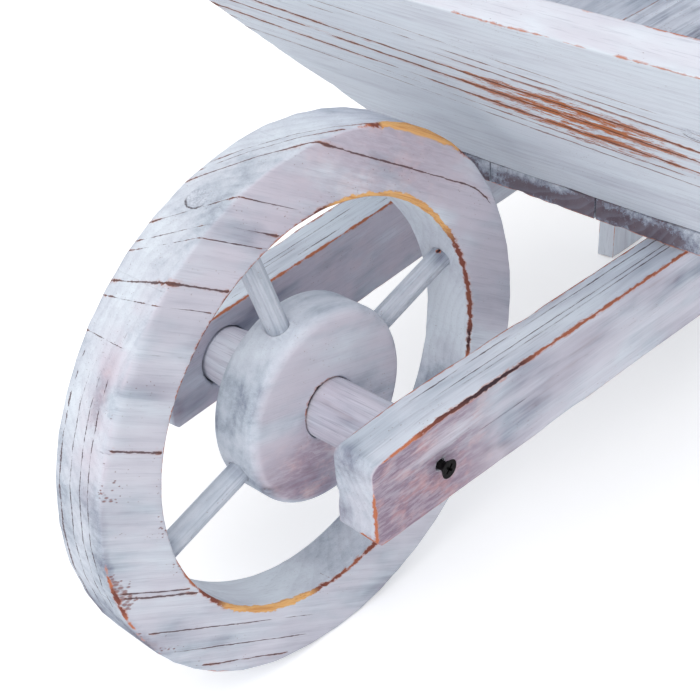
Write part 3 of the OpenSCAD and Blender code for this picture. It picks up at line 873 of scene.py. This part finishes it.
def rimPlaces(worn, points, local, normals):
    radius, angle = polar(points)
    outerR = wheelRadius / mm
    innerR = outerR - rim["depth"]
    along, height = local[:, 0], local[:, 1]
    tread = radius > outerR - 2.5
    inside = radius < innerR + 1.5
    nearSide = points[:, 1] < 0
    nearFace = np.clip(-normals[:, 1], 0, 1)
    outerSide = np.clip(2 * nearBump(radius, outerR, 12), 0, 1)
    innerSide = np.clip(2 * nearBump(radius, innerR, 12), 0, 1)
    worn["wear"] += innerSide * (0.3 + nearSide * roundAxle(angle, rim["innerWorn"]))
    worn["wear"] += outerSide * nearSide * roundAxle(angle, rim["outerWorn"])
    worn["pink"] += 0.8 * nearFace ** 4 * (0.7 + roundAxle(angle, rim["facePink"]))
    worn["pink"] += tread * roundAxle(angle, rim["treadPink"]) * nearBump(points[:, 1], -5, 13)
    worn["thin"] += 0.05 + inside * roundAxle(angle, rim["insideThin"])
    worn["thin"] += tread * roundAxle(angle, rim["treadThin"])
    besideArris = nearBump(radius, outerR - 3, 9) + 0.6 * nearBump(radius, innerR, 6)
    worn["pits"] = nearFace * besideArris * roundAxle(angle, rim["pits"])

    # Where the cracks show: on the face towards the front, and on the upper tread
    upper, lower, foot = rim["cracksUntil"]
    until = np.where(height > 0, upper, np.where(height > rim["foot"], lower, foot))
    shut = np.clip((along - until) / 25, 0, 1)
    shut = np.maximum(shut, inside + (nearFace > 0.7) * (height > rim["faceCracksTo"]))
    shut = np.maximum(shut, tread * np.clip((roundAxle(angle, rim["lowerTread"]) - 0.02) * 9, 0, 1))
    worn["lineSwell"] = -shut
    worn["layerSwell"] = np.where(tread, np.clip(roundAxle(angle, rim["frontTread"]), 0, 1), 0) - 1

    knotAngle, knotAcross = rim["knot"]
    middle = axleAt / mm + sloped(knotAngle) * outerR
    fromKnot = points - np.array((middle.x, knotAcross, middle.z))
    worn["knot"] = np.sqrt((fromKnot ** 2).sum(1))
    worn["knotBelow"] = -fromKnot[:, 0] * 0.6 - fromKnot[:, 2] * 0.8


for node in rim["boards"]:
    makeBoard(node, sloped(-barrow["rimGrain"]), (0, -1, 0), rim, origin=axleAt,
              seams=rim["joints"], shape=shapeRim, places=rimPlaces)


# Hub, spokes and axle. They have no arrises to round
roundWood = {
    "margins": (0.6, 0.6, 2.4),
    "ridges": 0.06,
    "chips": 0.0,
    "wear": 0.0,
    "pink": 0.1,
}
hub = {
    **roundWood,
    "finish": "hub",
    "board": 9,
    "grain": -12.0,  # degrees above level
    "cells": (2.4, 2.4, 2.4),
    "wobble": 0.4,
    "pink": 0.05,
    "bore": 13.6,  # mm from the axle's middle, with the wear at its mouth
    "lowSide": (240.0, 95.0),  # angle and spread of the lower side, which is drawn rosier and darker
    "boreThin": ((190.0, 60.0, 0.25),),
    "boreWorn": ((130.0, 80.0, 1.7),),
}
spoke = {
    **roundWood,
    "finish": "hub",
    "board": 12,
    "cells": (2.5, 90, 90),
    "wobble": 0.2,
    "ends": ((45.0, 6.0), (88.0, 8.0)),  # mm from the axle, and spread, where the wash is thin
    "worn": 2.2,
    "wornAt": 89.0,
}
axle = {
    **roundWood,
    "board": 12,
    "cells": (3.0, 90, 90),
    "wobble": 0.3,
    "ridges": 0.15,
    "pink": 0.9,
    "thinnedFrom": 47.0,  # mm from its middle
    "thinnedOver": 3.0,
    "thinned": 0.04,  # share of the radius
    "shortened": 0.005,
    "washNear": 0.05,  # how thin the wash is drawn on the near side and on the far one: painted shade near, painted light on the far side, which lies in the hub's shade
    "washFar": -0.35,
}


def hubPlaces(worn, points, local, normals):
    radius, angle = polar(points)
    face = np.clip(-normals[:, 1], 0, 1)
    lowSide = nearAngle(angle, *hub["lowSide"]) * face
    worn["pink"] += 0.85 * face ** 3 + 0.85 * lowSide
    worn["thin"] += 0.15 + 0.42 * lowSide + 0.05 * (1 - face)
    worn["thin"] += nearBump(radius, 15, 5) * roundAxle(angle, hub["boreThin"]) * face
    worn["arris"] = np.abs(radius - hub["bore"])  # the bore's mouth is dark above the axle
    worn["wear"] += roundAxle(angle, hub["boreWorn"])


def spokePlaces(worn, points, local, normals):
    ends = np.maximum(*[nearBump(local[:, 0], place, spread) for place, spread in spoke["ends"]])
    worn["thin"] += 0.1 + ends * 0.3
    worn["arris"] = np.abs(local[:, 0] - spoke["wornAt"])
    worn["wear"] += spoke["worn"] * np.clip(noiseOver(local, (0.05, 0.4, 0.4), 3), 0, 1)


# The axle's ends are thinned, so that they turn clear of their worn sockets in the arms
def shapeAxle(moved, points):
    ends = np.clip((np.abs(points[:, 1]) - axle["thinnedFrom"]) / axle["thinnedOver"], 0, 1)
    result = moved.copy()
    result[:, 0] -= (moved[:, 0] - axleAt.x / mm) * ends * axle["thinned"]
    result[:, 2] -= (moved[:, 2] - axleAt.z / mm) * ends * axle["thinned"]
    result[:, 1] -= moved[:, 1] * ends * axle["shortened"]
    return result


# Painted light: its far half, in the hub's shade, is drawn lighter and its near half a little darker, with
# the change in its middle, inside the hub
def axlePaintedLight(worn, points, local, normals):
    worn["thin"] += np.where(points[:, 1] > 0, axle["washFar"], axle["washNear"])


makeBoard("hub", sloped(hub["grain"]), (0, -1, 0), hub, origin=axleAt, places=hubPlaces)
for number in range(4):
    direction = sloped(barrow["spokeTurn"] + 90 * number)
    makeBoard(f"spoke_{number + 1}", direction, (0, -1, 0), spoke, origin=axleAt, places=spokePlaces)
makeBoard("axle", (0, 1, 0), (0, 0, 1), axle, origin=axleAt, shape=shapeAxle, places=axlePaintedLight)


# What all the sawn boards have alike, with their measures as for the rim
sawnBoard = {
    "shortest": 9.0,
    "bevel": 0.9,
    "segments": 2,
    "cells": (4.5, 4.0, 6.0),
    "margins": (1.2, 1.2, 1.6),
    "wobble": 0.4,
    "ridges": 0.12,
    "chips": 1.3,
    "wear": 0.5,
    "pink": 0.15,
}

# Arms. Places along them are mm from the axle
arm = {
    **sawnBoard,
    "finish": "arm",
    "cells": (3.2, 2.8, 2.8),
    "margins": (1.0, 1.6, 1.6),
    "wear": 0.45,
    "pink": 0.3,
    "noseDrop": 2.6,  # mm that the front end is sanded down
    "noseDropLength": 34.0,
    "nose": 9.0,  # mm from the front end that have their wash left, but for one arris
    "front": 75.0,  # mm from the front end over which the outer face is rosy and thin
    "topRubbed": (26.0, 42.0),  # where the top's outer arris is rubbed most, and its spread
    "topKept": (-6.0, 12.0),  # forward of which the top is rubbed less, and over how many mm
    "furtherBack": (60.0, 30.0),  # behind which the outer face is thinner
    "innerPink": (260.0, 120.0),  # forward of which the inner face is rosy and darker, the darkness partly its own thin wash and partly painted shade from the wheel and tray
}


def armPlaces(side):
    def place(worn, points, local, normals):
        along, height = local[:, 0], -local[:, 1] * side
        reach = along - along.min()
        top = np.clip((height - height.mean()) / 10, 0, 1)
        low = np.clip(0.5 - height / 20, 0, 1)
        front = np.clip(1 - reach / arm["front"], 0, 1)
        nose = np.clip(2 * nearBump(reach, 0, arm["nose"]), 0, 1)
        kept = np.clip((arm["topKept"][0] - along) / arm["topKept"][1], 0, 1)
        further = np.clip((along - arm["furtherBack"][0]) / arm["furtherBack"][1], 0, 1)
        forward = np.clip((arm["innerPink"][0] - along) / arm["innerPink"][1], 0, 1)
        outerSide = np.clip(local[:, 2] - local[:, 2].mean(), 0, 1)
        outerFace = np.clip(normals[:, 1] * side, 0, 1)
        innerFace = np.clip(-normals[:, 1] * side, 0, 1)
        topFace = np.clip(normals[:, 2], 0, 1)

        # The top's outer arris is rubbed most, and the nose at its own outer arris alone
        worn["wear"] += top * (0.5 + 0.25 * outerSide - 0.45 * kept)
        worn["wear"] += top * outerSide * nearBump(along, *arm["topRubbed"]) * 0.35
        worn["wear"] = worn["wear"] * (1 - nose) + nose * outerSide * (1 - top) * 1.1
        worn["pink"] += outerFace * (0.4 + np.sqrt(front) * 1.8) - 0.3 * topFace + innerFace * forward
        worn["thin"] += 0.02 + outerFace * (0.18 + 0.14 * further + front * (0.34 + 0.3 * low))
        # Painted light: the top faces are drawn with thicker, lighter wash, the far arm's most. The inner
        # face forward is drawn darker, partly its own thin wash and partly painted shade from the wheel and
        # tray
        worn["thin"] += innerFace * forward * 0.2 + nose * 0.17 - topFace * (0.3 + 0.16 * side)
        worn["lineSwell"] = outerFace - 1.0
        worn["layerSwell"] = topFace * (1 - front) - 1.0
    return place


def shapeArm(moved, points):
    reach = points[:, 0] - points[:, 0].min()
    dip = np.clip(1 - reach / arm["noseDropLength"], 0, 1) * arm["noseDrop"]
    result = moved.copy()
    result[:, 2] -= dip * np.clip((points[:, 2] - axleAt.z / mm) / 15, 0, 1)
    return result


sideSplay = math.tan(math.radians(barrow["splay"]))
for node, side in (("left_arm", -1), ("right_arm", 1)):
    makeBoard(node, turned(1, side * sideSplay, 0), (0, side, 0), arm, origin=axleAt,
              shape=shapeArm, places=armPlaces(side))

# Tray, rails and legs
frontPanel = {
    **sawnBoard,
    "finish": "panel",
    "cells": (3.6, 3.2, 6.0),
    "drift": lambda local: local[:, 1] + local[:, 0] * frontPanel["slant"],
    "slant": 0.1,  # fall of the cracks to each mm across
    "wornAt": (-66.0, -17.0),  # mm across the barrow, and down the panel from its middle
    "wornSize": (66.0, 40.0),
    "knot": (-128.0, -40.0),
}
trayFloor = {
    **sawnBoard,
    "board": 20,
    "cells": (6.0, 2.5, 2.0),
    "wobble": 0.25,
    "bevel": 0.4,
    "endThin": 0.62,  # how thin the wash is on the front end, and how far that varies
    "endPatches": 0.5,
    "topThin": 0.1,
}
leg = {
    **sawnBoard,
    "pink": 0.3,
    "thin": -0.6,  # painted light: below 0 the wash is thicker and lighter, against the tray's shade on the legs
}
frontIn, frontUp = lean(barrow["frontLean"])
backIn, backUp = lean(barrow["backLean"])
sideIn, sideUp = lean(barrow["sideLean"])


def frontPlaces(worn, points, local, normals):
    topFace = np.clip(normals[:, 2], 0, 1)
    outer = np.clip(local[:, 2] / 3, 0, 1)
    (across, up), (wide, high) = frontPanel["wornAt"], frontPanel["wornSize"]
    swell = np.clip(nearBump(local[:, 0], across, wide) * nearBump(local[:, 1], up, high) * 1.4, 0, 1)
    worn["lineSwell"] = np.where(normals[:, 2] < 0.3, swell, -1) * outer + outer - 1
    # Painted shade: the inner face, inside the tray, is drawn with thinner, greyer wash
    worn["thin"] += (1 - outer) * 0.3 * (1 - topFace)
    worn["pink"] += 0.8 * topFace
    worn["wear"] += 0.15 * topFace
    spot = np.array(frontPanel["knot"])
    worn["knot"] = np.sqrt(((local[:, :2] - spot) ** 2).sum(1) + (local[:, 2] - local[:, 2].max()) ** 2)
    worn["knotBelow"] = local[:, 1] - spot[1]


# The floor's front end is rough, with bare wood between smears of wash
def floorPlaces(worn, points, local, normals):
    frontEnd = np.clip(-normals[:, 0] * 1.5, 0, 1)
    patches = noiseOver(points, (0.02, 0.06, 0.15), 7) * trayFloor["endPatches"]
    washedTop = np.clip(local[:, 2] / 5, -0.3, 1) * 0.45
    worn["thin"] += frontEnd * np.clip(trayFloor["endThin"] + patches - washedTop, 0.1, 1.0)
    # Painted shade: the floor's top, inside the tray, is drawn greyer
    worn["thin"] += np.clip(normals[:, 2], 0, 1) * trayFloor["topThin"]
    fromEdge = local - local.min(0)
    worn["arris"] = np.hypot(fromEdge[:, 0], fromEdge[:, 2])


# Painted shade: the tray's inner faces have less wash on them, drawn greyer as the shade inside the tray
def trayInsideShade(worn, points, local, normals):
    worn["thin"] += np.clip(-local[:, 2] / 4, 0, 1) * 0.3


# Painted light: the legs, in the tray's shade, are drawn with thicker, lighter wash
def legPaintedLight(worn, points, local, normals):
    worn["thin"] += leg["thin"]


makeBoard("front_panel", (0, 1, 0), turned(-frontUp, 0, -frontIn), frontPanel, places=frontPlaces)
makeBoard("back_panel", (0, 1, 0), turned(backUp, 0, -backIn), sawnBoard, places=trayInsideShade)
for node, side in (("left_side", -1), ("right_side", 1)):
    makeBoard(node, turned(1, 0, 0), turned(0, side * sideUp, -sideIn), sawnBoard, places=trayInsideShade)
floorAt = sum(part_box("floor_middle"), Vector()) / 2
for node in ("floor_left", "floor_middle", "floor_right"):
    makeBoard(node, turned(1, 0, 0), turned(0, 0, 1), trayFloor, origin=floorAt, places=floorPlaces)
for node in ("front_rail", "rear_rail", "leg_brace"):
    makeBoard(node, (0, 1, 0), turned(1, 0, 0), sawnBoard)
for node, side in (("left_leg", -1), ("right_leg", 1)):
    makeBoard(node, turned(0, 0, 1), (0, side, 0), leg, places=legPaintedLight)


# Screws and nails
def metalFinish(name, colour, bright, rough, metallic):
    material, tree, shader = newMaterial(name)
    where = addNode(tree, "TexCoord").outputs["Object"]
    scratches = noiseAt(tree, where, (900, 900, 2600), 4.0, 0.7)
    dust = noiseAt(tree, where, (350, 350, 350), 3.0, 0.6)
    feed(tree, shader.inputs["Base Color"], blend(tree, fade(tree, dust, 0.4, 0.7), colour, bright))
    shader.inputs["Metallic"].default_value = metallic
    shader.inputs["Specular IOR Level"].default_value = 0.1
    feed(tree, shader.inputs["Roughness"], calc(tree, "MULTIPLY_ADD", scratches, 0.3, rough))
    addBump(tree, shader, scratches, 0.5, 0.05)
    return material


finishes["black_screw"] = metalFinish("blackScrew", paint(7, 6, 7), paint(17, 15, 16), 0.4, 0.0)
finishes["nail_steel"] = metalFinish("nailSteel", paint(120, 118, 120), paint(160, 158, 158), 0.4, 0.8)
for name, obj in frame["nodes"].items():
    if slotOf[name] in ("black_screw", "nail_steel"):
        obj.material_slots[0].material = finishes[slotOf[name]]
print("screws and nails finished")


# Light, floor and background
def makeFloor():
    deselectAll()
    bpy.ops.mesh.primitive_plane_add(size=40, location=(0, 0, 0))
    floor = bpy.context.object
    floor.name = "studioFloor"
    material, tree, shader = newMaterial("studioFloor")
    shader.inputs["Base Color"].default_value = (0.93, 0.93, 0.94, 1.0)
    shader.inputs["Roughness"].default_value = 1.0
    shader.inputs["Specular IOR Level"].default_value = 0.0
    shader.inputs["Emission Color"].default_value = (1, 1, 1, 1)
    seen = addNode(tree, "LightPath").outputs["Is Camera Ray"]
    feed(tree, shader.inputs["Emission Strength"], calc(tree, "MULTIPLY", seen, 0.3))
    floor.data.materials.append(material)


lights = {
    "sky": 0.69,
    "suns": (  # strength, where from, and softness in degrees
        (1.05, (-0.30, -0.30, 0.90), 50.0),
        (1.15, (-0.85, -0.40, 0.15), 60.0),
    ),
}


def makeLight():
    world = bpy.data.worlds.new("studio")
    bpy.context.scene.world = world
    world.use_nodes = True
    tree = world.node_tree
    background = tree.nodes["Background"]
    background.inputs["Color"].default_value = (1, 1, 1, 1)
    path = addNode(tree, "LightPath")
    plain = calc(tree, "MAXIMUM", path.outputs["Is Camera Ray"], path.outputs["Is Glossy Ray"])
    strength = calc(tree, "MULTIPLY_ADD", plain, 1 - lights["sky"], lights["sky"])
    feed(tree, background.inputs["Strength"], strength)
    for strength, fromPlace, softness in lights["suns"]:
        data = bpy.data.lights.new("softSun", "SUN")
        data.energy = strength
        data.angle = math.radians(softness)
        sun = bpy.data.objects.new("softSun", data)
        sun.rotation_euler = Vector(fromPlace).to_track_quat("Z", "Y").to_euler()
        bpy.context.scene.collection.objects.link(sun)


makeFloor()
makeLight()
bpy.context.scene.view_settings.view_transform = "Standard"
print("stage and light ready")
